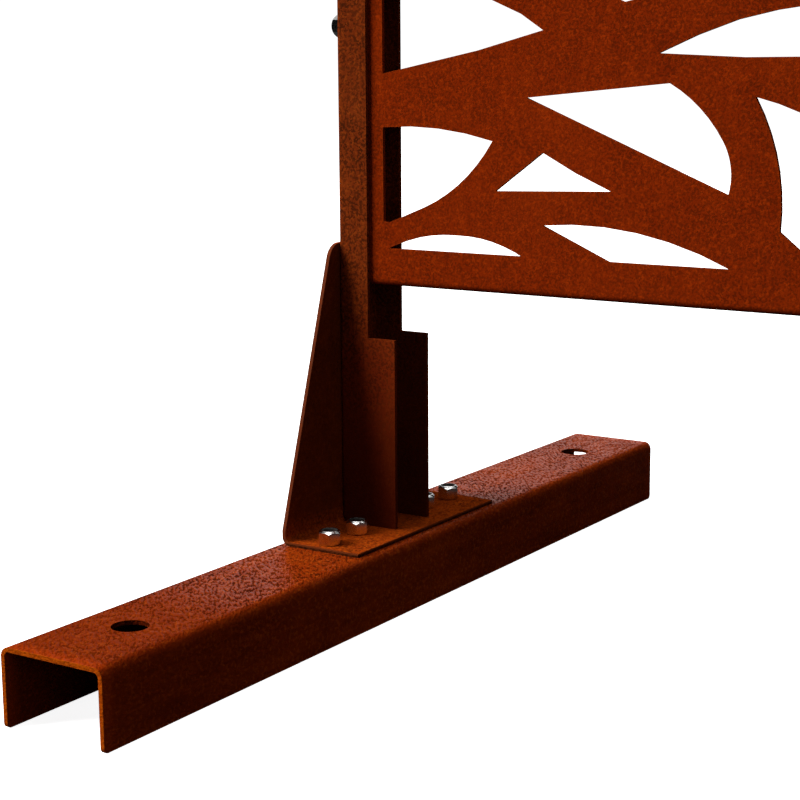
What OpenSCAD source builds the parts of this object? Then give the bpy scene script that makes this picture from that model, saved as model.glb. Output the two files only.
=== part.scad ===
// A free-standing screen: a folded steel tray with a cut fretwork field, held between
// two channel posts that are bolted to folded brackets on two long channel feet.
// X runs along the screen, Y from front to back, Z up. The origin is on the floor,
// under the middle of the screen.

/* [Sheet] */
// Thickness of the steel sheet that every folded piece is made of
sheet_t = 2.5; // [2:0.5:3]
// Inside radius of the folds in the feet and brackets
fold_r = 3; // [2:0.5:4]

/* [Panel] */
// Width of the tray, between the webs of the posts
panel_w = 900; // [700:10:1100]
// Height of the tray
panel_h = 1700; // [1200:10:2000]
// Depth of the tray over its folded edges
panel_d = 22; // [20:1:26]
// Inside radius of the folds round the tray
panel_fold_r = 1.5; // [1:0.5:2]
// Height of the tray's lower edge above the foot brackets
panel_gap = 156; // [140:2:200]
// Plain border at the left and right of the fretwork
side_border = 30; // [26:1:60]
// Plain border above and below the fretwork
end_border = 23.5; // [15:0.5:50]

/* [Fretwork] */
// Width of one repeat of the fretwork
repeat_w = 420; // [360:10:600]
// Height of one repeat of the fretwork
repeat_h = 236; // [200:4:340]

/* [Posts] */
// Depth of the post channel, front to back
post_d = 40; // [36:1:50]
// Width of the post's flanges beside the panel
post_flange_w = 22; // [18:1:28]
// Width of the post's flanges at the foot, where they are widened
foot_flange_w = 42; // [34:1:50]
// Height of the widened part of the flanges
foot_flange_h = 122; // [110:1:134]
// Inside radius of the folds in the posts
post_fold_r = 0.5; // [0.5:0.5:3]

/* [Feet] */
// Length of a foot, front to back
foot_l = 635; // [500:5:800]
// Width of a foot
foot_w = 70; // [66:1:90]
// Height of a foot
foot_h = 45; // [35:1:60]
// Diameter of the anchor holes near the ends of the feet
anchor_d = 21; // [12:1:30]
// Distance from the end of a foot to the middle of its anchor hole
anchor_inset = 61.5; // [40:0.5:90]
// Radius of the rounded lower corners at the ends of a foot
foot_corner_r = 3; // [1:0.5:6]

/* [Brackets] */
// Width of a bracket's base plate
plate_w = 57; // [54:1:62]
// Length of a bracket's base plate
plate_l = 162; // [160:1:200]
// Height of a bracket's gusset above its base plate
gusset_h = 181.5; // [150:0.5:230]
// Width of the gusset at its top, before the corners are rounded
gusset_top_w = 54; // [48:1:70]
// Radius of the gusset's two top corners
gusset_corner_r = 12; // [6:1:20]

/* [Fasteners] */
// Diameter of the bolts
bolt_d = 8; // [6:0.5:9]
// Width of the nuts and bolt heads across their flats
nut_flats = 13; // [12.5:0.5:14]
// Height of a locking nut with its collar
nut_h = 9.1; // [8.6:0.1:10]
// Height of a bolt head
head_h = 5.3; // [4:0.1:6]
// Distance from the middle of a bracket to its inner bolts
foot_bolt_inner = 40; // [37:0.5:44]
// Distance from the middle of a bracket to its outer bolts
foot_bolt_outer = 70; // [62:0.5:71]
// Height of the lowest bolt through the post and gusset, above the base plate
gusset_bolt_first = 35; // [25:1:45]
// Spacing of the bolts through the post and gusset
gusset_bolt_step = 40; // [20:1:44]
// Distance from the tray's lower and upper edges to its end bolts
panel_bolt_inset = 160; // [100:5:220]

/* [Hidden] */
$fn = 48;

// How far a cut runs past the face that it starts from
overrun = 1;
// Gap between the post's front flange and the face of the tray
panel_fit = 0.5;
// How much wider than its bolt a hole in the sheet is
hole_play = 1;
// Gap round a bolt in its nut, and round the insert
thread_play = 0.1;
// Gap between the end of a post's web and the fold of the bracket under it
web_seat_gap = 0.5;
// Gap between the ends of two folded edges and the corner of the tray
corner_gap = 0.5;
// Upright stretch at each end of the gusset, before it slopes in
gusset_toe_h = 7;
gusset_bolt_count = 3;
panel_bolt_count = 4;
// Degrees of turn in each straight step of a bowed edge in the fretwork
arc_step_angle = 5;

// Parts of a locking nut and a bolt
collar_h = 0.8;
nut_chamfer_share = 0.97;
nut_chamfer_angle = 40;
collar_inset = 0.6;
collar_edge_r = 1;
lip_d = 10;
lip_t = 0.5;
insert_d = 10.8;
insert_h = 1.3;
bolt_end_recess = 1.2;
bolt_end_chamfer = 0.7;

// Places that follow from the sizes above
fold_outer_r = fold_r + sheet_t;
panel_edge_r = panel_fold_r + sheet_t;
plate_top_z = foot_h + sheet_t;
post_x = sheet_t - plate_w/2;
web_in_x = post_x + sheet_t;
foot_x = panel_w/2 + web_in_x;
panel_z = plate_top_z + panel_gap;
post_h = panel_gap + panel_h;
panel_y = sheet_t + panel_fit - post_d/2;
panel_bolt_y = panel_y + panel_d/2;
panel_bolt_step = (panel_h - 2*panel_bolt_inset)/(panel_bolt_count - 1);
joint_t = 2*sheet_t;
bolt_l = joint_t + nut_h - bolt_end_recess;
collar_d = nut_flats - collar_inset;
field_w = panel_w - 2*side_border;
field_h = panel_h - 2*end_border;

// The openings of one repeat. Each corner is its place along and up the repeat, as shares of
// the repeat's width and height, and the bow of the edge that follows it, as a share of that
// edge's length: more than zero bows outward. The corners run counterclockwise.
opening_shares = [
    [[0.266, 0.560, -0.016], [0.231, 0.600, 0.020], [0.099, 0.688, 0.060], [-0.071, 0.636, 0.100],
     [-0.060, 0.500, 0.020], [-0.010, 0.451, 0], [0.161, 0.512, 0]],
    [[0.389, 0.623, 0], [0.538, 0.679, 0.060], [0.467, 0.831, 0.100], [0.266, 0.719, 0]],
    [[0.441, 0.503, 0.016], [0.562, 0.493, 0.037], [0.805, 0.538, 0.080],
     [0.713, 0.615, 0.030], [0.552, 0.578, 0.018]],
    [[0.545, 0.174, 0.102], [0.536, 0.299, 0.069], [0.458, 0.433, 0], [0.240, 0.396, 0]],
    [[0.008, 0.067, 0], [0.072, 0.113, 0.077], [0.186, 0.287, 0.042],
     [0.004, 0.317, 0.100], [-0.105, 0.220, 0.100]],
    [[0.191, 0.162, 0], [0.374, 0.172, -0.019], [0.267, 0.262, 0]],
    [[-0.025, -0.034, 0.080], [0.257, -0.024, 0.078], [0.129, 0.044, 0.080]],
    [[0.267, 0.081, 0], [0.432, -0.047, 0.030], [0.596, -0.042, 0.080]],
    [[0.579, 0.403, -0.078], [0.618, 0.094, 0.016], [0.655, 0.041, 0.030], [0.822, 0.095, 0.100]],
    [[0.695, 0.415, -0.060], [0.843, 0.195, 0.060], [0.876, 0.458, -0.030]],
    [[0.638, -0.093, 0.080], [0.948, -0.081, 0.060], [0.824, -0.017, 0.050]],
    [[-0.210, 0.869, 0.100], [-0.095, 0.729, 0.030], [0.114, 0.797, 0.070]],
    [[0.579, 0.797, 0.060], [0.624, 0.720, 0.040], [0.843, 0.682, 0.080]],
];
// Each row of repeats is set along from the row below by this share of the repeat's width
row_shift_share = 0.5;

// Points from a up to, but not at, b on an arc that bows out by a share of the distance
function bowed(a, b, bow_share) =
    bow_share == 0 ? [a] :
    let (
        chord = b - a,
        reach = norm(chord),
        rise = abs(bow_share)*reach,
        arc_r = (reach*reach/4 + rise*rise)/(2*rise),
        half_angle = asin(reach/(2*arc_r)),
        steps = max(1, round(2*half_angle/arc_step_angle)),
        outward = [chord[1], -chord[0]]*sign(bow_share)/reach
    )
    [for (i = [0:steps - 1])
        let (angle = half_angle*(2*i/steps - 1))
        a + chord*(1/2 + arc_r*sin(angle)/reach)
          + outward*arc_r*(cos(angle) - cos(half_angle))];

// Outline of one opening, from its corners given as shares
function opening_outline(corner_shares) =
    [for (i = [0:len(corner_shares) - 1])
        let (
            from = corner_shares[i],
            to = corner_shares[(i + 1) % len(corner_shares)]
        )
        each bowed(
            [from[0]*repeat_w, from[1]*repeat_h],
            [to[0]*repeat_w, to[1]*repeat_h],
            from[2])];

// Flat outline of the fretwork, from the lower left corner of its field
module fretwork() {
    intersection() {
        square([field_w, field_h]);
        for (row = [0:ceil(field_h/repeat_h)])
            for (column = [-1:ceil(field_w/repeat_w)])
                translate([(column + (row % 2)*row_shift_share)*repeat_w, row*repeat_h])
                    for (corner_shares = opening_shares)
                        polygon(opening_outline(corner_shares));
    }
}

// Flat outline with its two upper corners rounded, hanging down from the X axis
module round_topped(w, h, r) {
    translate([-w/2, -h])
        square([w, h - r]);
    translate([r - w/2, -r])
        square([w - 2*r, r]);
    for (side = [-1, 1])
        translate([side*(w/2 - r), -r])
            circle(r);
}

// Section of a folded channel, with its web on top, its legs hanging down, and its folds' inside radius
module channel_section(w, leg, inside_r) {
    difference() {
        round_topped(w, leg, inside_r + sheet_t);
        translate([0, -sheet_t])
            round_topped(w - 2*sheet_t, leg, inside_r);
    }
}

// Section of a folded edge of the tray: a quarter turn and a leg towards the back
module edge_section() {
    intersection() {
        translate([0, -panel_edge_r])
            square(panel_edge_r);
        difference() {
            translate([panel_edge_r, 0])
                circle(panel_edge_r);
            translate([panel_edge_r, 0])
                circle(panel_fold_r);
        }
    }
    translate([panel_edge_r, -panel_edge_r])
        square([panel_d - panel_edge_r, sheet_t]);
}

// Puts its children, made for the left foot, where the foot on the named side stands
module on_side(side) {
    if (side == "left")
        translate([-foot_x, 0, 0])
            children();
    else
        mirror([1, 0, 0])
            translate([-foot_x, 0, 0])
                children();
}

// The four places of a foot's bolts, on the upper face of the base plate
module at_foot_bolts() {
    for (y = [-foot_bolt_outer, -foot_bolt_inner, foot_bolt_inner, foot_bolt_outer])
        translate([0, y, plate_top_z])
            children();
}

// The places of the bolts through the post and gusset, turned to point outward
module at_gusset_bolts() {
    for (i = [0:gusset_bolt_count - 1])
        translate([post_x - sheet_t, 0, plate_top_z + gusset_bolt_first + i*gusset_bolt_step])
            rotate([0, -90, 0])
                children();
}

// The places of the bolts through the post and tray, turned to point outward
module at_panel_bolts() {
    for (i = [0:panel_bolt_count - 1])
        translate([post_x, panel_bolt_y, panel_z + panel_bolt_inset + i*panel_bolt_step])
            rotate([0, -90, 0])
                children();
}

// A hole through both sheets of a joint, below a face at zero
module joint_hole() {
    translate([0, 0, -joint_t - overrun])
        cylinder(d = bolt_d + hole_play, h = joint_t + 2*overrun);
}

// A six-sided block with both ends chamfered
module hexagon_block(h) {
    corner_r = nut_flats/2/cos(30);
    end_r = nut_flats/2*nut_chamfer_share;
    chamfer_h = (corner_r - end_r)*tan(nut_chamfer_angle);
    intersection() {
        cylinder(r = corner_r, h = h, $fn = 6);
        rotate_extrude()
            polygon([
                [0, 0], [end_r, 0], [corner_r, chamfer_h],
                [corner_r, h - chamfer_h], [end_r, h], [0, h]]);
    }
}

// A bolt from below: its head is under the joint, its end inside the nut
module bolt() {
    color([0.80, 0.80, 0.79])
    translate([0, 0, -joint_t]) {
        translate([0, 0, -head_h])
            hexagon_block(head_h);
        rotate_extrude()
            polygon([
                [0, -head_h/2], [bolt_d/2, -head_h/2], [bolt_d/2, bolt_l - bolt_end_chamfer],
                [bolt_d/2 - bolt_end_chamfer, bolt_l], [0, bolt_l]]);
    }
}

// A locking nut: a chamfered hexagon with a round collar that holds a nylon ring
module nut() {
    color([0.80, 0.80, 0.79])
    difference() {
        union() {
            hexagon_block(nut_h - collar_h);
            rotate_extrude() {
                square([collar_d/2, nut_h - collar_edge_r]);
                square([collar_d/2 - collar_edge_r, nut_h]);
                translate([collar_d/2 - collar_edge_r, nut_h - collar_edge_r])
                    circle(collar_edge_r);
            }
        }
        translate([0, 0, -overrun])
            cylinder(d = bolt_d + 2*thread_play, h = nut_h + 2*overrun);
        translate([0, 0, nut_h - lip_t - insert_h])
            cylinder(d = insert_d + 2*thread_play, h = insert_h);
        translate([0, 0, nut_h - lip_t - insert_h/2])
            cylinder(d = lip_d, h = nut_h);
    }
}

// The nylon ring in a locking nut
module nut_insert() {
    color([0.22, 0.24, 0.28])
    translate([0, 0, nut_h - lip_t - insert_h])
        difference() {
            cylinder(d = insert_d, h = insert_h);
            translate([0, 0, -overrun])
                cylinder(d = bolt_d + thread_play, h = insert_h + 2*overrun);
        }
}

// A foot: a channel with its open side down
module base_channel() {
    color([0.42, 0.16, 0.07])
    difference() {
        translate([0, 0, foot_h])
            rotate([90, 0, 0])
                linear_extrude(foot_l, center = true)
                    channel_section(foot_w, foot_h, fold_r);
        for (end = [-1, 1])
            translate([0, end*(foot_l/2 - anchor_inset), foot_h - sheet_t - overrun])
                cylinder(d = anchor_d, h = sheet_t + 2*overrun);
        at_foot_bolts()
            joint_hole();
        for (end = [0, 1])
            mirror([0, end, 0])
                translate([0, -foot_l/2, 0])
                    rotate([90, 0, 90])
                        linear_extrude(foot_w + 2*overrun, center = true)
                            difference() {
                                translate([-overrun, -overrun])
                                    square(foot_corner_r + overrun);
                                translate([foot_corner_r, foot_corner_r])
                                    circle(foot_corner_r);
                            }
    }
}

// Outline of the bracket from the side: the base plate's edge and the sloping gusset
module bracket_outline() {
    rise = gusset_h - gusset_toe_h;
    run = (plate_l - gusset_top_w)/2;
    slope = atan2(rise, run);
    tangent = gusset_corner_r*tan(slope/2);
    top = sheet_t + gusset_h;
    toe = sheet_t + gusset_toe_h;
    for (end = [0, 1])
        mirror([end, 0]) {
            polygon([
                [0, 0], [plate_l/2, 0], [plate_l/2, toe],
                [gusset_top_w/2 + tangent*cos(slope), top - tangent*sin(slope)],
                [gusset_top_w/2 - tangent, top], [0, top]]);
            translate([gusset_top_w/2 - tangent, top - gusset_corner_r])
                circle(gusset_corner_r);
        }
}

// Section of the bracket: the base plate with the gusset folded up from its outer edge
module bracket_section() {
    difference() {
        union() {
            translate([fold_outer_r, 0])
                square([plate_w - fold_outer_r, sheet_t + gusset_h]);
            translate([0, fold_outer_r])
                square([fold_outer_r, sheet_t + gusset_h - fold_outer_r]);
            translate([fold_outer_r, fold_outer_r])
                circle(fold_outer_r);
        }
        translate([fold_outer_r, sheet_t])
            square([plate_w, gusset_h + overrun]);
        translate([sheet_t, fold_outer_r])
            square([plate_w, gusset_h]);
        translate([fold_outer_r, fold_outer_r])
            circle(fold_r);
    }
}

module foot_bracket() {
    color([0.62, 0.27, 0.08])
    difference() {
        translate([0, 0, foot_h])
            intersection() {
                rotate([90, 0, 0])
                    linear_extrude(plate_l, center = true)
                        translate([-plate_w/2, 0])
                            bracket_section();
                rotate([90, 0, 90])
                    linear_extrude(plate_w + 2*overrun, center = true)
                        bracket_outline();
            }
        at_foot_bolts()
            joint_hole();
        at_gusset_bolts()
            joint_hole();
    }
}

// A post: a channel that opens towards the panel, with flanges widened at the foot
module post() {
    notch = fold_r + web_seat_gap;
    color([0.55, 0.23, 0.08])
    difference() {
        translate([post_x, 0, plate_top_z])
            linear_extrude(post_h)
                rotate(90)
                    channel_section(post_d, foot_flange_w, post_fold_r);
        translate([post_x + post_flange_w, -post_d/2 - overrun, plate_top_z + foot_flange_h])
            cube([foot_flange_w, post_d + 2*overrun, post_h]);
        translate([post_x - overrun, -post_d/2 - overrun, plate_top_z - overrun])
            cube([notch + overrun, post_d + 2*overrun, notch + overrun]);
        at_gusset_bolts()
            joint_hole();
        at_panel_bolts()
            joint_hole();
    }
}

// One folded edge of the tray, lying below the middle of the panel
module folded_edge(edge_l, reach) {
    translate([0, 0, panel_edge_r - reach])
        rotate([90, 0, 90])
            linear_extrude(edge_l - 2*(panel_edge_r + corner_gap), center = true)
                edge_section();
}

// The cut front sheet of the tray and its lower and upper edges, about the panel's middle
module cut_sheet_and_ends() {
    translate([0, sheet_t, 0])
        rotate([90, 0, 0])
            linear_extrude(sheet_t)
                difference() {
                    square([panel_w - 2*panel_edge_r, panel_h - 2*panel_edge_r], center = true);
                    translate([-field_w/2, -field_h/2])
                        fretwork();
                }
    for (end = [0, 180])
        rotate([0, end, 0])
            folded_edge(panel_w, panel_h/2);
}

module screen_panel() {
    color([0.66, 0.29, 0.08]) {
        translate([0, panel_y, panel_z + panel_h/2])
            cut_sheet_and_ends();
        difference() {
            translate([0, panel_y, panel_z + panel_h/2])
                for (side = [90, 270])
                    rotate([0, side, 0])
                        folded_edge(panel_h, panel_w/2);
            for (side = ["left", "right"])
                on_side(side)
                    at_panel_bolts()
                        joint_hole();
        }
    }
}

module foot_bolts() {
    at_foot_bolts()
        bolt();
}

module foot_nuts() {
    at_foot_bolts()
        nut();
}

module foot_nut_inserts() {
    at_foot_bolts()
        nut_insert();
}

module gusset_bolts() {
    at_gusset_bolts()
        bolt();
}

module gusset_nuts() {
    at_gusset_bolts()
        nut();
}

module gusset_nut_inserts() {
    at_gusset_bolts()
        nut_insert();
}

module panel_bolts() {
    at_panel_bolts()
        bolt();
}

module panel_nuts() {
    at_panel_bolts()
        nut();
}

module panel_nut_inserts() {
    at_panel_bolts()
        nut_insert();
}

on_side("left") base_channel();  // base_channel_left
on_side("right") base_channel();  // base_channel_right
on_side("left") foot_bracket();  // foot_bracket_left
on_side("right") foot_bracket();  // foot_bracket_right
on_side("left") post();  // post_left
on_side("right") post();  // post_right
screen_panel();
on_side("left") foot_bolts();  // foot_bolts_left
on_side("right") foot_bolts();  // foot_bolts_right
on_side("left") foot_nuts();  // foot_nuts_left
on_side("right") foot_nuts();  // foot_nuts_right
on_side("left") foot_nut_inserts();  // foot_nut_inserts_left
on_side("right") foot_nut_inserts();  // foot_nut_inserts_right
on_side("left") gusset_bolts();  // gusset_bolts_left
on_side("right") gusset_bolts();  // gusset_bolts_right
on_side("left") gusset_nuts();  // gusset_nuts_left
on_side("right") gusset_nuts();  // gusset_nuts_right
on_side("left") gusset_nut_inserts();  // gusset_nut_inserts_left
on_side("right") gusset_nut_inserts();  // gusset_nut_inserts_right
on_side("left") panel_bolts();  // panel_bolts_left
on_side("right") panel_bolts();  // panel_bolts_right
on_side("left") panel_nuts();  // panel_nuts_left
on_side("right") panel_nuts();  // panel_nuts_right
on_side("left") panel_nut_inserts();  // panel_nut_inserts_left
on_side("right") panel_nut_inserts();  // panel_nut_inserts_right
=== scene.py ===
# %% [markdown]
# # A rusted steel screen
# The object is a free-standing screen made of folded sheet steel that has been left to rust.
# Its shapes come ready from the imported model, so this lesson is about what the eye reads as
# old steel: layered rust, bright cut edges, and small plated nuts that mirror the room.

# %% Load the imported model
import math

import bpy
import numpy as np
from mathutils import Matrix, Vector


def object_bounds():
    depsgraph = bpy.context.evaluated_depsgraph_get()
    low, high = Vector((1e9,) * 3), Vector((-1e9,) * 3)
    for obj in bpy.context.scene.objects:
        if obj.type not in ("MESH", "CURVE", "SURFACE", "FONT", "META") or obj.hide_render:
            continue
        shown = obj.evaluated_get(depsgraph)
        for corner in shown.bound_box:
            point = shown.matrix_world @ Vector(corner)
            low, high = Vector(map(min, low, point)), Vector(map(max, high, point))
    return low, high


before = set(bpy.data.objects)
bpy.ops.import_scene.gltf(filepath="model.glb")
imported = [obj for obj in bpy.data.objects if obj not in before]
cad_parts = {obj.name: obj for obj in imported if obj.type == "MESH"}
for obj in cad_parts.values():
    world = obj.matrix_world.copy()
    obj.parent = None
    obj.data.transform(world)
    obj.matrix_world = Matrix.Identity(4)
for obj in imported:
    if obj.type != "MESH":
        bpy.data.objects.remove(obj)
cad_low, cad_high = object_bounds()
print("nodes:", len(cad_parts), "box:", [round(v, 4) for v in (*cad_low, *cad_high)])

# %% [markdown]
# ## Where the camera stands
# The picture is taken low and close, from the front right of one foot. The camera could be
# pointed by hand, but its place and turn were worked out from the straight edges of the foot,
# so each number is written down here and the camera's three axes are built from the angles.

# %% Camera
CAMERA_PLACE = Vector((0.2088, -0.9631, 0.3464))
CAMERA_AZIMUTH = math.radians(33.122)
CAMERA_DOWN = math.radians(10.769)
CAMERA_ROLL = math.radians(-0.341)
CAMERA_LENS = 82.0
SENSOR_WIDTH = 36.0
NEAREST_SEEN = 0.05
FARTHEST_SEEN = 100.0


def camera_axes(azimuth, down, roll):
    """Right, up and forward of a camera that turns left by azimuth, tips down and then rolls.
    Forward is (-sin a cos d, cos a cos d, -sin d), right is level, and up is right cross forward."""
    level = math.cos(down)
    forward = Vector((-math.sin(azimuth) * level, math.cos(azimuth) * level, -math.sin(down)))
    right = Vector((math.cos(azimuth), math.sin(azimuth), 0.0))
    up = right.cross(forward)
    turned_right = right * math.cos(roll) + up * math.sin(roll)
    turned_up = up * math.cos(roll) - right * math.sin(roll)
    return turned_right, turned_up, forward


camera_right, camera_up, camera_forward = camera_axes(CAMERA_AZIMUTH, CAMERA_DOWN, CAMERA_ROLL)
lens = bpy.data.cameras.new("camera")
lens.lens = CAMERA_LENS
lens.sensor_width = SENSOR_WIDTH
lens.clip_start = NEAREST_SEEN
lens.clip_end = FARTHEST_SEEN
camera = bpy.data.objects.new("camera", lens)
bpy.context.scene.collection.objects.link(camera)
turn = Matrix((camera_right, camera_up, -camera_forward)).transposed()
camera.matrix_world = Matrix.Translation(CAMERA_PLACE) @ turn.to_4x4()
bpy.context.scene.camera = camera
print("camera at", [round(v, 3) for v in camera.location])

# %% [markdown]
# ## Wiring a finish
# A finish in Blender is a graph of nodes. Making each node by hand takes many lines that hide
# the idea, so this small class keeps the graph and offers one short method for each kind of
# step. All patterns read Object coordinates, which here are metres on the real screen, so a
# size such as 0.001 means grains of one millimetre.

# %% A short way to write node graphs
EDGE_SAMPLES = 6
EDGE_LEAN = (0.985, 0.80)


class Finish:
    """A material under construction: each method adds one node and gives back its output."""

    def __init__(self, name):
        self.material = bpy.data.materials.new(name)
        self.material.use_nodes = True
        self.tree = self.material.node_tree
        self.tree.nodes.clear()
        self.place = self.add("ShaderNodeTexCoord").outputs["Object"]

    def add(self, kind):
        """Adds a node of this kind."""
        return self.tree.nodes.new(kind)

    def feed(self, socket, value):
        """Links an output to a socket, or writes a plain number, colour or vector into it."""
        if isinstance(value, bpy.types.NodeSocket):
            self.tree.links.new(value, socket)
        else:
            socket.default_value = value

    def stretched(self, size, turn=0.0):
        """Object coordinates divided by a size along X, Y and Z, so one pattern cell has that size.
        The cells can be turned about Z by some degrees."""
        place = self.place
        if turn:
            turned = self.add("ShaderNodeVectorRotate")
            turned.rotation_type = "Z_AXIS"
            self.feed(turned.inputs["Vector"], place)
            turned.inputs["Angle"].default_value = math.radians(turn)
            place = turned.outputs["Vector"]
        node = self.add("ShaderNodeMapping")
        self.feed(node.inputs["Vector"], place)
        node.inputs["Scale"].default_value = [1 / s for s in size]
        return node.outputs["Vector"]

    def noise(self, size, detail=4.0, roughness=0.5, warp=0.0, turn=0.0):
        """Cloudy noise from 0 to 1 whose cells have a size in metres, along X, Y and Z."""
        if not isinstance(size, tuple):
            size = (size,) * 3
        node = self.add("ShaderNodeTexNoise")
        self.feed(node.inputs["Vector"], self.stretched(size, turn))
        node.inputs["Scale"].default_value = 1.0
        node.inputs["Detail"].default_value = detail
        node.inputs["Roughness"].default_value = roughness
        node.inputs["Distortion"].default_value = warp
        return node.outputs["Fac"]

    def sum(self, *weighted):
        """Adds outputs, each times its weight."""
        total = None
        for value, weight in weighted:
            node = self.add("ShaderNodeMath")
            node.operation = "MULTIPLY_ADD"
            self.feed(node.inputs[0], value)
            node.inputs[1].default_value = weight
            if total is None:
                node.inputs[2].default_value = 0.0
            else:
                self.feed(node.inputs[2], total)
            total = node.outputs[0]
        return total

    def times(self, a, b):
        """The product of two values."""
        node = self.add("ShaderNodeMath")
        node.operation = "MULTIPLY"
        self.feed(node.inputs[0], a)
        self.feed(node.inputs[1], b)
        return node.outputs[0]

    def between(self, value, low, high, out_low=0.0, out_high=1.0):
        """Carries the range low to high over to out_low to out_high, smoothly and without overshoot."""
        node = self.add("ShaderNodeMapRange")
        node.interpolation_type = "SMOOTHSTEP"
        self.feed(node.inputs["Value"], value)
        node.inputs["From Min"].default_value = low
        node.inputs["From Max"].default_value = high
        node.inputs["To Min"].default_value = out_low
        node.inputs["To Max"].default_value = out_high
        return node.outputs["Result"]

    def tones(self, value, stops):
        """A colour for each value, read off a row of (place, colour) stops."""
        node = self.add("ShaderNodeValToRGB")
        ramp = node.color_ramp
        while len(ramp.elements) < len(stops):
            ramp.elements.new(0.5)
        for element, (place, colour) in zip(ramp.elements, stops):
            element.position = place
            element.color = (*colour, 1.0)
        self.feed(node.inputs["Fac"], value)
        return node.outputs["Color"]

    def blend(self, amount, under, over):
        """Lays one colour over another by an amount from 0 to 1."""
        node = self.add("ShaderNodeMix")
        node.data_type = "RGBA"
        self.feed(node.inputs["Factor"], amount)
        for name, colour in (("A", under), ("B", over)):
            socket = next(s for s in node.inputs if s.name == name and s.type == "RGBA")
            plain = not isinstance(colour, bpy.types.NodeSocket)
            self.feed(socket, (*colour, 1.0) if plain else colour)
        return next(s for s in node.outputs if s.type == "RGBA")

    def normal(self):
        """The direction in which the surface looks."""
        return self.add("ShaderNodeNewGeometry").outputs["Normal"]

    def dot(self, a, b):
        """The dot product of two directions: 1 where they agree and 0 where they are square."""
        node = self.add("ShaderNodeVectorMath")
        node.operation = "DOT_PRODUCT"
        self.feed(node.inputs[0], a)
        self.feed(node.inputs[1], b)
        return node.outputs["Value"]

    def unsigned(self, value):
        """The value without its sign."""
        node = self.add("ShaderNodeMath")
        node.operation = "ABSOLUTE"
        self.feed(node.inputs[0], value)
        return node.outputs[0]

    def coordinate(self, axis):
        """X, Y or Z in metres."""
        node = self.add("ShaderNodeSeparateXYZ")
        self.feed(node.inputs[0], self.place)
        return node.outputs[axis]

    def near_edge(self, radius):
        """1 on an edge and 0 in the flat: how far a normal rounded over this radius leans away."""
        rounded = self.add("ShaderNodeBevel")
        rounded.samples = EDGE_SAMPLES
        rounded.inputs["Radius"].default_value = radius
        return self.between(self.dot(rounded.outputs["Normal"], self.normal()), *EDGE_LEAN)

    def facing(self, direction, low, high):
        """0 to 1 as the cosine between the normal and a direction goes from low to high."""
        return self.between(self.dot(self.normal(), direction), low, high)

    def along(self, axis, low, high):
        """0 to 1 as that cosine, without its sign, goes from low to high: |n . axis|."""
        return self.between(self.unsigned(self.dot(self.normal(), axis)), low, high)

    def away(self, axis, low, high):
        """0 to 1 as the distance from the middle along X, Y or Z goes from low to high, in metres."""
        return self.between(self.unsigned(self.coordinate(axis)), low, high)

    def at(self, axis, low, high):
        """0 to 1 as X, Y or Z itself goes from low to high, in metres."""
        return self.between(self.coordinate(axis), low, high)

    def bump(self, height, depth, strength=1.0):
        """A bumped normal from heights of 0 to 1 that stand for a depth in metres."""
        node = self.add("ShaderNodeBump")
        node.inputs["Strength"].default_value = strength
        node.inputs["Distance"].default_value = depth
        self.feed(node.inputs["Height"], height)
        return node.outputs["Normal"]

    def shade(self, **sockets):
        """Ends the graph in one Principled shader with the sockets named here."""
        shader = self.add("ShaderNodeBsdfPrincipled")
        for name, value in sockets.items():
            self.feed(shader.inputs[name.replace("_", " ")], value)
        out = self.add("ShaderNodeOutputMaterial")
        self.tree.links.new(shader.outputs["BSDF"], out.inputs["Surface"])
        print("finish", self.material.name, "with", len(self.tree.nodes), "nodes")
        return self.material


# %% [markdown]
# ## Rust
# The sheet has one coat of rust, but each piece has weathered by itself. Five layers make the
# look: large patches, a mottle the size of a fingertip, streaks along the way that water ran, a
# dense grain of dark specks, and glowing orange dots between them. Washes come last: a wash is a
# colour laid over one place, such as a freshly cut edge, or painted shade such as the dark line
# of a seam. A photograph could be pasted on, but noise in layers has no seams and can be set for each piece.

# %% Sizes and steps in the rust
UP = (0.0, 0.0, 1.0)
MOTTLE_SIZE = 0.011
DOT_SIZE = 0.0023
CUT_EDGE_REACH = 0.0016
GRAIN_TURN = -37.0
PATCH_WEIGHT = 0.33
MOTTLE_WEIGHT = 0.25
STREAK_WEIGHT = 0.42
MIDDLE_TONE = 0.50
TONE_SPREAD = 0.14
DOT_STEP = (0.50, 0.66)
CROWD_STEP = (0.60, 0.38)
LEAST_CROWD = 0.55
LEVEL_STEP = (0.88, 0.995)
SPECKS_WHERE_SMOOTH = 0.75
SHINE_STEP = (0.44, 0.56)
SHINE_LOW = 0.2
SHINE_HIGH = 1.8
SHINE_WHERE_DULL = 0.12
EDGE_STEP = (0.30, 0.60)
LEAST_EDGE = 0.35
WASH_STEP = (0.42, 0.54)
LEAST_WASH = 0.55
ROUGH_STEP = (0.54, 0.44)
print("the finest layer of rust has dots of", DOT_SIZE * 1000, "mm")


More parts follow.
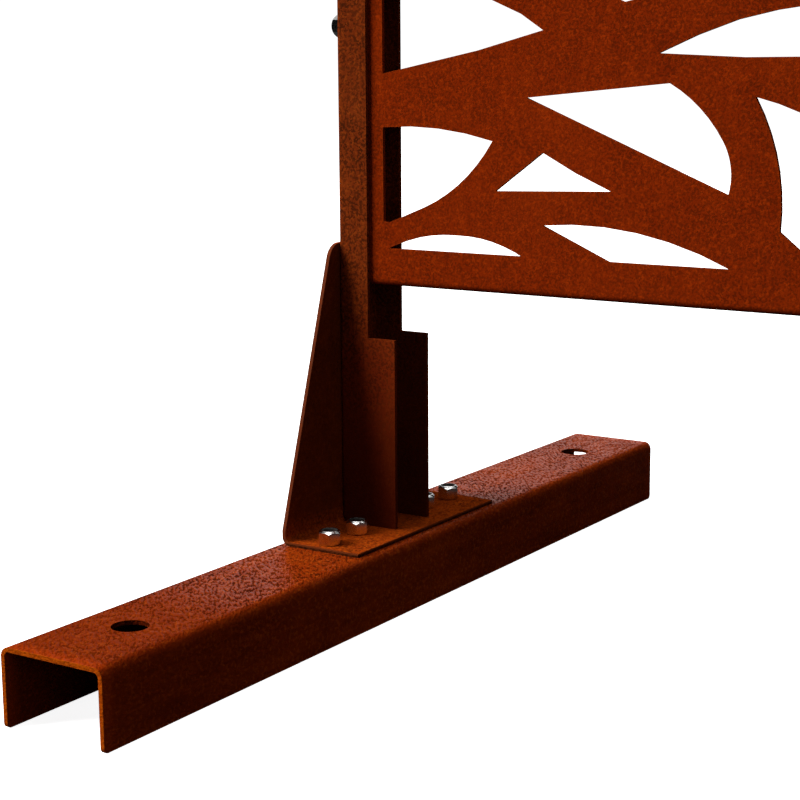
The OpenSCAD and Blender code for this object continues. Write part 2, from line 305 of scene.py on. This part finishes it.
# %% The layers of rust
def rust(name, dark, middle, bright, glow, edge, specks, streak_size, grain_size=0.0016,
         speck_share=0.5, speck_step=(0.53, 0.44), side_specks=1.0, glow_share=0.35, edge_share=0.6,
         smooth=None, dull=None, washes=(), patch_size=0.07, patchy=1.0, gloss=0.0,
         roughness=(0.55, 0.8), relief_depth=0.0004):
    """Rust in layers. Patches, mottle and streaks are added into one value that picks a tone from
    dark to bright; dots and specks go over it, then the edge colour where a rounded normal leans,
    then the washes in their order, each as mask times share."""
    f = Finish(name)
    patches = f.noise(patch_size, detail=6.0, roughness=0.6, warp=0.7)
    mottle = f.noise(MOTTLE_SIZE, detail=5.0, roughness=0.7)
    streaks = f.noise(streak_size, detail=4.0, roughness=0.65, warp=0.2)
    grain = f.noise(grain_size, detail=1.5, roughness=0.6, turn=GRAIN_TURN)
    dots = f.noise(DOT_SIZE, detail=2.0, roughness=0.6)

    tone = f.sum((patches, PATCH_WEIGHT), (mottle, MOTTLE_WEIGHT), (streaks, STREAK_WEIGHT))
    spread = TONE_SPREAD / patchy
    stops = [(MIDDLE_TONE - spread, dark), (MIDDLE_TONE, middle), (MIDDLE_TONE + spread, bright)]
    colour = f.tones(tone, stops)
    colour = f.blend(f.times(f.between(dots, *DOT_STEP), glow_share), colour, glow)

    crowded = f.between(f.sum((patches, 0.5), (mottle, 0.5)), *CROWD_STEP, LEAST_CROWD, 1.0)
    level = f.between(f.facing(UP, *LEVEL_STEP), 0.0, 1.0, side_specks, 1.0)
    rough_part = f.times(crowded, level)
    if smooth:
        rough_part = f.times(rough_part, f.between(smooth(f), 0.0, 1.0, 1.0, SPECKS_WHERE_SMOOTH))
    if dull:
        shine = f.between(grain, *SHINE_STEP, SHINE_LOW * gloss, SHINE_HIGH * gloss)
        gloss = f.times(shine, f.between(dull(f), 0.0, 1.0, 1.0, SHINE_WHERE_DULL))
    pits = f.times(f.between(grain, *speck_step), rough_part)
    colour = f.blend(f.times(pits, speck_share), colour, specks)

    at_edge = f.times(f.near_edge(CUT_EDGE_REACH), f.between(mottle, *EDGE_STEP, LEAST_EDGE, 1.0))
    colour = f.blend(f.times(at_edge, edge_share), colour, edge)
    # some washes are real colour of cut edges and wear, others are painted shade
    for mask, wash, share in washes:
        wash_amount = f.between(grain, *WASH_STEP, LEAST_WASH * share, share)
        colour = f.blend(f.times(mask(f), wash_amount), colour, wash)

    rough = f.between(f.sum((grain, 0.6), (mottle, 0.4)), *ROUGH_STEP, *roughness)
    relief = f.bump(f.sum((grain, 0.75), (mottle, 0.25)), relief_depth, strength=0.8)
    return f.shade(Base_Color=colour, Roughness=rough, Normal=relief, Specular_IOR_Level=gloss)


# %% [markdown]
# ## Where the washes lie
# Hands and the laser leave their marks in known places, such as the cut faces of a plate, and
# painted shade darkens other known places: the seam where two sheets meet, the hollow under a
# foot. They could be painted by hand onto an image, but each place is easy to say in words, as a
# direction that a face looks in or a distance in metres. So each mask is a function of the normal
# and the place, and follows the piece if it is resized.

# %% Sizes that the washes follow
SHEET = 0.0025
FOOT_TOP = 0.045
FOOT_WIDTH = 0.070
FOOT_END = cad_high.y
FOOT_OUT = cad_high.x
FOOT_IN = FOOT_OUT - FOOT_WIDTH
SIDEWAYS = (1.0, 0.0, 0.0)
LENGTHWAYS = (0.0, 1.0, 0.0)
UPRIGHT = (0.5, 0.2)
HAIR = 0.0005
print("a foot runs from x", round(FOOT_IN, 4), "to", round(FOOT_OUT, 4), "and ends at y", round(FOOT_END, 4))


# %% Washes on a bracket
LOOKS_LENGTHWAYS = (0.25, 0.40)
LOOKS_SIDEWAYS = (0.5, 0.9)
GUSSET_FADE = 0.02


def above_foot(sheets):
    """The height of a number of sheet thicknesses above the top of a foot."""
    return FOOT_TOP + sheets * SHEET


def cut_by_normal(f):
    """The cut faces of a bracket: all that look along Y, also the sloping ones."""
    return f.along(LENGTHWAYS, *LOOKS_LENGTHWAYS)


def plate_rim(f):
    """The upright rim of a bracket's base plate, which is one sheet high."""
    return f.times(f.along(UP, *UPRIGHT), f.away("Z", above_foot(1.2), above_foot(1.0)))


def plate_seam_shadow(f):
    """The lower part of that rim, painted dark as the shadow in the seam between the plate and the foot."""
    return f.times(f.along(UP, *UPRIGHT), f.away("Z", above_foot(0.8), above_foot(0.4)))


def shaded_gusset_side(f):
    """Painted shade on the upright faces of a gusset that look along X."""
    return f.times(f.along(SIDEWAYS, *LOOKS_SIDEWAYS),
                   f.away("Z", above_foot(1.0), FOOT_TOP + GUSSET_FADE))


# %% Washes on a post
WIDE_PART = (0.20, 0.15)
POST_SHADE_PART = (0.16, 0.07)


def wide_part_of_post(f):
    """The lower part of a post, where its flanges are wide and the rust is redder."""
    return f.at("Z", *WIDE_PART)


def shaded_foot_of_post(f):
    """Painted shade: the last ten centimetres of a post, darkened towards the plate."""
    return f.at("Z", *POST_SHADE_PART)


# %% Washes on a foot
CUT_DEPTH = (0.0006, 0.0002)
HANDLED_DEPTH = (0.012, 0.002)
SMOOTH_DEPTH = (0.12, 0.03)
DULL_PART = (-0.15, -0.24)
HOLE_WALL = 0.9


def end_of_foot(f, depths):
    """Both ends of a foot: 0 at the first depth from the end and 1 at the second."""
    return f.away("Y", FOOT_END - depths[0], FOOT_END - depths[1])


def cut_ends(f):
    """The two cut ends of a foot, a fraction of a millimetre deep."""
    return end_of_foot(f, CUT_DEPTH)


def handled_ends(f):
    """The last centimetre of a foot, where hands have rubbed the rust bright."""
    return end_of_foot(f, HANDLED_DEPTH)


def smooth_ends(f):
    """The last few centimetres of a foot, where the grain fades out."""
    return end_of_foot(f, SMOOTH_DEPTH)


def front_end(f):
    """The front third of a foot, which is duller than the rest."""
    return f.at("Y", *DULL_PART)


def shaded_inside_foot(f):
    """Painted shade in the hollow under a foot, from a little inside its outer faces."""
    hollow = f.times(f.away("X", FOOT_IN + HAIR, FOOT_IN + 2 * HAIR),
                     f.away("X", FOOT_OUT - HAIR, FOOT_OUT - 2 * HAIR))
    return f.times(hollow, f.away("Z", FOOT_TOP - 2 * HAIR, FOOT_TOP - 4 * HAIR))


def shaded_hole_walls(f):
    """Painted shade on the upright walls of the holes in the top of a foot."""
    return f.times(f.along(UP, *UPRIGHT), f.away("Z", FOOT_TOP - SHEET, FOOT_TOP - HOLE_WALL * SHEET))


# %% [markdown]
# ## One rust for each kind of piece
# The panel is an even, warm red. The posts are browner and grainier, the brackets more orange, and
# the feet have long streaks and a faint shine. One material for all would look like painted
# plastic, so the same function is called four times with colours of its own.

# %% Rust on the panel
UP_AND_DOWN = (0.006, 0.006, 0.05)
panel_rust = rust(
    "rusted_panel", dark=(0.125, 0.0100, 0.0009), middle=(0.165, 0.0145, 0.0010),
    bright=(0.205, 0.0200, 0.0014), glow=(0.40, 0.042, 0.002), edge=(0.22, 0.030, 0.003),
    specks=(0.060, 0.0075, 0.0012), streak_size=UP_AND_DOWN, grain_size=0.0015, speck_share=0.65,
    speck_step=(0.52, 0.44), glow_share=0.25, patchy=0.65)

# %% Rust on the posts
post_rust = rust(
    "rusted_post", dark=(0.080, 0.0110, 0.0022), middle=(0.125, 0.0180, 0.0030),
    bright=(0.175, 0.0280, 0.0042), glow=(0.31, 0.056, 0.005), edge=(0.18, 0.032, 0.005),
    specks=(0.028, 0.0065, 0.0020), streak_size=UP_AND_DOWN, grain_size=0.0018, speck_share=0.85,
    speck_step=(0.52, 0.44), glow_share=0.25, patchy=0.7,
    washes=[(wide_part_of_post, (0.120, 0.0095, 0.0020), 0.55),
            # painted shade: the bottom of the post is darkened
            (shaded_foot_of_post, (0.045, 0.0050, 0.0010), 0.75)])

# %% Rust on the brackets
NO_GRAIN_WAY = (0.02, 0.02, 0.02)
bracket_rust = rust(
    "rusted_bracket", dark=(0.150, 0.0185, 0.0018), middle=(0.225, 0.0300, 0.0024),
    bright=(0.300, 0.0440, 0.0030), glow=(0.44, 0.080, 0.003), edge=(0.110, 0.030, 0.014),
    specks=(0.035, 0.0060, 0.0012), streak_size=NO_GRAIN_WAY, speck_share=0.75,
    speck_step=(0.50, 0.44), edge_share=0.35, patchy=0.7,
    # painted shade: the gusset's faces that look along X are darkened
    washes=[(shaded_gusset_side, (0.030, 0.0045, 0.0008), 0.72),
            (cut_by_normal, (0.080, 0.020, 0.009), 0.95),
            (plate_rim, (0.130, 0.0280, 0.0070), 0.90),
            # painted shadow: a near-black line along the seam under the plate
            (plate_seam_shadow, (0.012, 0.0030, 0.0010), 0.90)])

# %% Rust on the feet
ALONG_THE_FOOT = (0.010, 0.12, 0.009)
LONG_GRAIN = (0.0016, 0.0048, 0.0016)
foot_rust = rust(
    "rusted_foot", dark=(0.110, 0.0100, 0.0008), middle=(0.175, 0.0185, 0.0014),
    bright=(0.245, 0.0300, 0.0020), glow=(0.40, 0.070, 0.005), edge=(0.24, 0.032, 0.002),
    specks=(0.012, 0.0020, 0.0006), streak_size=ALONG_THE_FOOT, grain_size=LONG_GRAIN,
    speck_share=0.85, speck_step=(0.50, 0.42), side_specks=0.0, edge_share=0.6, patchy=1.0,
    smooth=smooth_ends, dull=front_end, gloss=0.016, roughness=(0.20, 0.50), relief_depth=0.0012,
    washes=[(front_end, (0.080, 0.0080, 0.0010), 0.40),
            # painted shade: the walls of the holes are darkened
            (shaded_hole_walls, (0.030, 0.0035, 0.0006), 0.95),
            # painted shade: the hollow under the foot is darkened
            (shaded_inside_foot, (0.060, 0.0060, 0.0006), 0.75),
            (handled_ends, (0.42, 0.040, 0.002), 0.30),
            (cut_ends, (0.36, 0.060, 0.002), 0.90)])

# %% [markdown]
# ## Plated nuts and nylon rings
# The nuts and bolts are bright zinc. Plating is a mirror that has been slightly blurred, so a
# fully metallic surface with a low roughness does most of the work, and a faint noise in the
# roughness keeps it from looking like chrome. The ring inside each nut is dark nylon.

# %% Zinc and nylon
CLOUD_STOPS = (0.3, 0.7)
ZINC_SCRATCH = (0.0003, 0.0003, 0.003)


def zinc(name):
    """Bright plating: a metal whose tint and blur vary a little with two sizes of noise."""
    f = Finish(name)
    cloud = f.noise(0.004, detail=3.0)
    scratch = f.noise(ZINC_SCRATCH, detail=2.0)
    colour = f.tones(cloud, list(zip(CLOUD_STOPS, ((0.66, 0.65, 0.63), (0.86, 0.86, 0.85)))))
    blur = f.between(f.sum((cloud, 0.5), (scratch, 0.5)), *CLOUD_STOPS, out_low=0.14, out_high=0.24)
    relief = f.bump(scratch, depth=0.00004, strength=0.3)
    return f.shade(Base_Color=colour, Metallic=1.0, Roughness=blur, Normal=relief)


def nylon(name):
    """Dark moulded nylon with a slight cloud in its colour."""
    f = Finish(name)
    cloud = f.noise(0.002, detail=3.0)
    colour = f.tones(cloud, list(zip(CLOUD_STOPS, ((0.012, 0.010, 0.009), (0.030, 0.026, 0.024)))))
    blur = f.between(cloud, *CLOUD_STOPS, out_low=0.35, out_high=0.5)
    relief = f.bump(cloud, depth=0.0001, strength=0.3)
    return f.shade(Base_Color=colour, Roughness=blur, Normal=relief, Specular_IOR_Level=0.2)


zinc_plate = zinc("zinc_plate")
nylon_ring = nylon("nylon_ring")

# %% [markdown]
# ## Dressing the pieces
# Every piece of the model is its own node with a material slot that waits for its finish. They
# could be filled one by one, but the names tell what each piece is made of, so a short table from
# a part of the name to a finish does it for all. The first match counts: the inserts come before
# the nuts that hold them.

# %% Put the finishes on the nodes
FINISH_OF = {"base_channel": foot_rust, "foot_bracket": bracket_rust, "post": post_rust,
             "screen_panel": panel_rust, "nut_inserts": nylon_ring, "nuts": zinc_plate,
             "bolts": zinc_plate}
for node_name, node_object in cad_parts.items():
    finish = next(f for part, f in FINISH_OF.items() if part in node_name)
    for slot in node_object.material_slots:
        slot.material = finish
print("dressed", len(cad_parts), "nodes")

# %% [markdown]
# ## Floor
# The screen stands on a plain pale floor in a white studio. A white floor throws light back up
# and would fill the dark recesses, which is why photographers cut the floor off with black card.
# Here the floor shows white to the camera and sends little light to everything else.

# %% Floor
FLOOR_HALF = 30.0
FLOOR_LINES = 31


def flat_floor(name, half, lines):
    """A level grid: x and y run evenly from -half to half, and z is zero everywhere."""
    across = np.linspace(-half, half, lines)
    x, y = np.meshgrid(across, across)
    points = np.stack([x.ravel(), y.ravel(), np.zeros(x.size)], axis=1)
    cell = np.arange(lines - 1)
    corner = (cell[:, None] * lines + cell[None, :]).ravel()
    faces = np.stack([corner, corner + 1, corner + lines + 1, corner + lines], axis=1)
    mesh = bpy.data.meshes.new(name)
    mesh.from_pydata(points.tolist(), [], faces.tolist())
    piece = bpy.data.objects.new(name, mesh)
    bpy.context.scene.collection.objects.link(piece)
    return piece


floor = flat_floor("floor", FLOOR_HALF, FLOOR_LINES)
print("floor:", len(floor.data.polygons), "faces,", 2 * FLOOR_HALF, "m wide")

# %% Pale finish of the floor
FLOOR_SEEN = 0.80
FLOOR_GLOW = (0.90, 1.15)
FLOOR_GLOW_REACH = (0.9, 3.0)
FLOOR_BOUNCE = 0.02

pale = Finish("pale_floor")
ray = pale.add("ShaderNodeLightPath").outputs["Is Camera Ray"]
floor_colour = pale.blend(ray, (FLOOR_BOUNCE,) * 3, (FLOOR_SEEN,) * 3)
reach = pale.add("ShaderNodeVectorMath")
reach.operation = "LENGTH"
pale.feed(reach.inputs[0], pale.place)
glow = pale.times(ray, pale.between(reach.outputs["Value"], *FLOOR_GLOW_REACH, *FLOOR_GLOW))
floor.data.materials.append(pale.shade(
    Base_Color=floor_colour, Roughness=0.9, Specular_IOR_Level=0.0,
    Emission_Color=(1.0, 1.0, 1.0, 1.0), Emission_Strength=glow))

# %% [markdown]
# ## The room
# The studio is white to the camera and nearly dark to the rust, so the recesses stay deep. Two
# things light the rest: a bright backdrop behind the screen, which gives the tops of the feet
# their pale sheen, and a ceiling that only mirrors see, which puts the highlights on the nuts. A
# photograph of a room could be wrapped around the scene, but a few nodes are easier to aim.

# %% Room light
BACKDROP_SIDE = Vector((-0.42, 0.89, 0.17)).normalized()
BACKDROP_EDGE = (0.92, 0.975)
BACKDROP_LIGHT = 0.75
ROOM_LIGHT = 0.004
SEEN_WHITE = 1.1
CEILING_LIGHT = 1.15
CEILING_RISE = (0.55, 0.90)

world = bpy.data.worlds.new("white_room")
bpy.context.scene.world = world
world.use_nodes = True
room = world.node_tree
room.nodes.clear()


def light_between(value, from_range, to_range):
    """Carries one range of a value over to a range of light, smoothly."""
    node = room.nodes.new("ShaderNodeMapRange")
    node.interpolation_type = "SMOOTHSTEP"
    room.links.new(value, node.inputs["Value"])
    for name, number in zip(("From Min", "From Max", "To Min", "To Max"), (*from_range, *to_range)):
        node.inputs[name].default_value = number
    return node.outputs["Result"]


# %% Backdrop and ceiling
seen = room.nodes.new("ShaderNodeLightPath")
from_where = room.nodes.new("ShaderNodeTexCoord").outputs["Generated"]
towards = room.nodes.new("ShaderNodeVectorMath")
towards.operation = "DOT_PRODUCT"
towards.inputs[1].default_value = BACKDROP_SIDE
room.links.new(from_where, towards.inputs[0])
backdrop = light_between(towards.outputs["Value"], BACKDROP_EDGE, (ROOM_LIGHT, BACKDROP_LIGHT))
height = room.nodes.new("ShaderNodeSeparateXYZ")
room.links.new(from_where, height.inputs[0])
ceiling = light_between(height.outputs["Z"], CEILING_RISE, (0.0, CEILING_LIGHT))
in_metal = room.nodes.new("ShaderNodeMath")
in_metal.operation = "MULTIPLY_ADD"
room.links.new(ceiling, in_metal.inputs[0])
room.links.new(seen.outputs["Is Glossy Ray"], in_metal.inputs[1])
room.links.new(backdrop, in_metal.inputs[2])
print("backdrop light", BACKDROP_LIGHT, "and ceiling light", CEILING_LIGHT)

# %% What the camera sees of the room
lit = room.nodes.new("ShaderNodeBackground")
room.links.new(in_metal.outputs[0], lit.inputs["Strength"])
plain = room.nodes.new("ShaderNodeBackground")
plain.inputs["Strength"].default_value = SEEN_WHITE
for background in (lit, plain):
    background.inputs["Color"].default_value = (1.0, 1.0, 1.0, 1.0)
choose = room.nodes.new("ShaderNodeMixShader")
room.links.new(seen.outputs["Is Camera Ray"], choose.inputs["Fac"])
room.links.new(lit.outputs["Background"], choose.inputs[1])
room.links.new(plain.outputs["Background"], choose.inputs[2])
sky = room.nodes.new("ShaderNodeOutputWorld")
room.links.new(choose.outputs["Shader"], sky.inputs["Surface"])
print("the room has", len(room.nodes), "nodes")

# %% [markdown]
# ## Lamps
# A large soft lamp at the left front gives the faces their warm side, and one overhead lights the
# plates. Two weak ones keep the right side and the back from going black. One strong lamp alone
# would leave hard shadows in the folds. Three of them stay out of mirrors, or each nut would show
# their square shape.

# %% Lamps
LAMP_AIM = (-0.43, 0.0, 0.2)
PANEL_MIDDLE = (0.0, 0.0, 1.0)


def softbox(name, place, aim, size, power, in_mirrors):
    """A flat square lamp of a size in metres that stands at a place and looks at an aim."""
    lamp = bpy.data.lights.new(name, "AREA")
    lamp.shape = "RECTANGLE"
    lamp.size = size
    lamp.size_y = size
    lamp.energy = power
    stand = bpy.data.objects.new(name, lamp)
    bpy.context.scene.collection.objects.link(stand)
    stand.location = place
    stand.rotation_euler = (Vector(aim) - Vector(place)).to_track_quat("-Z", "Y").to_euler()
    stand.visible_glossy = in_mirrors
    print(name, "at", place, "with", power, "W")
    return stand


softbox("key_lamp", place=(-3.27, -2.22, 2.8), aim=LAMP_AIM, size=2.6, power=430.0, in_mirrors=False)
softbox("top_lamp", place=(-0.43, 0.1, 4.2), aim=LAMP_AIM, size=4.0, power=115.0, in_mirrors=True)
softbox("fill_lamp", place=(3.4, -2.4, 1.6), aim=LAMP_AIM, size=2.5, power=21.0, in_mirrors=False)
softbox("back_lamp", place=(-1.0, 4.2, 1.2), aim=PANEL_MIDDLE, size=2.5, power=45.0, in_mirrors=False)

# %% [markdown]
# ## Colour of the picture
# The plain view transform keeps dark oranges as strong as they are mixed, where a film-like one
# would turn them brown.

# %% Colour
bpy.context.scene.view_settings.view_transform = "Standard"
bpy.context.scene.view_settings.look = "None"
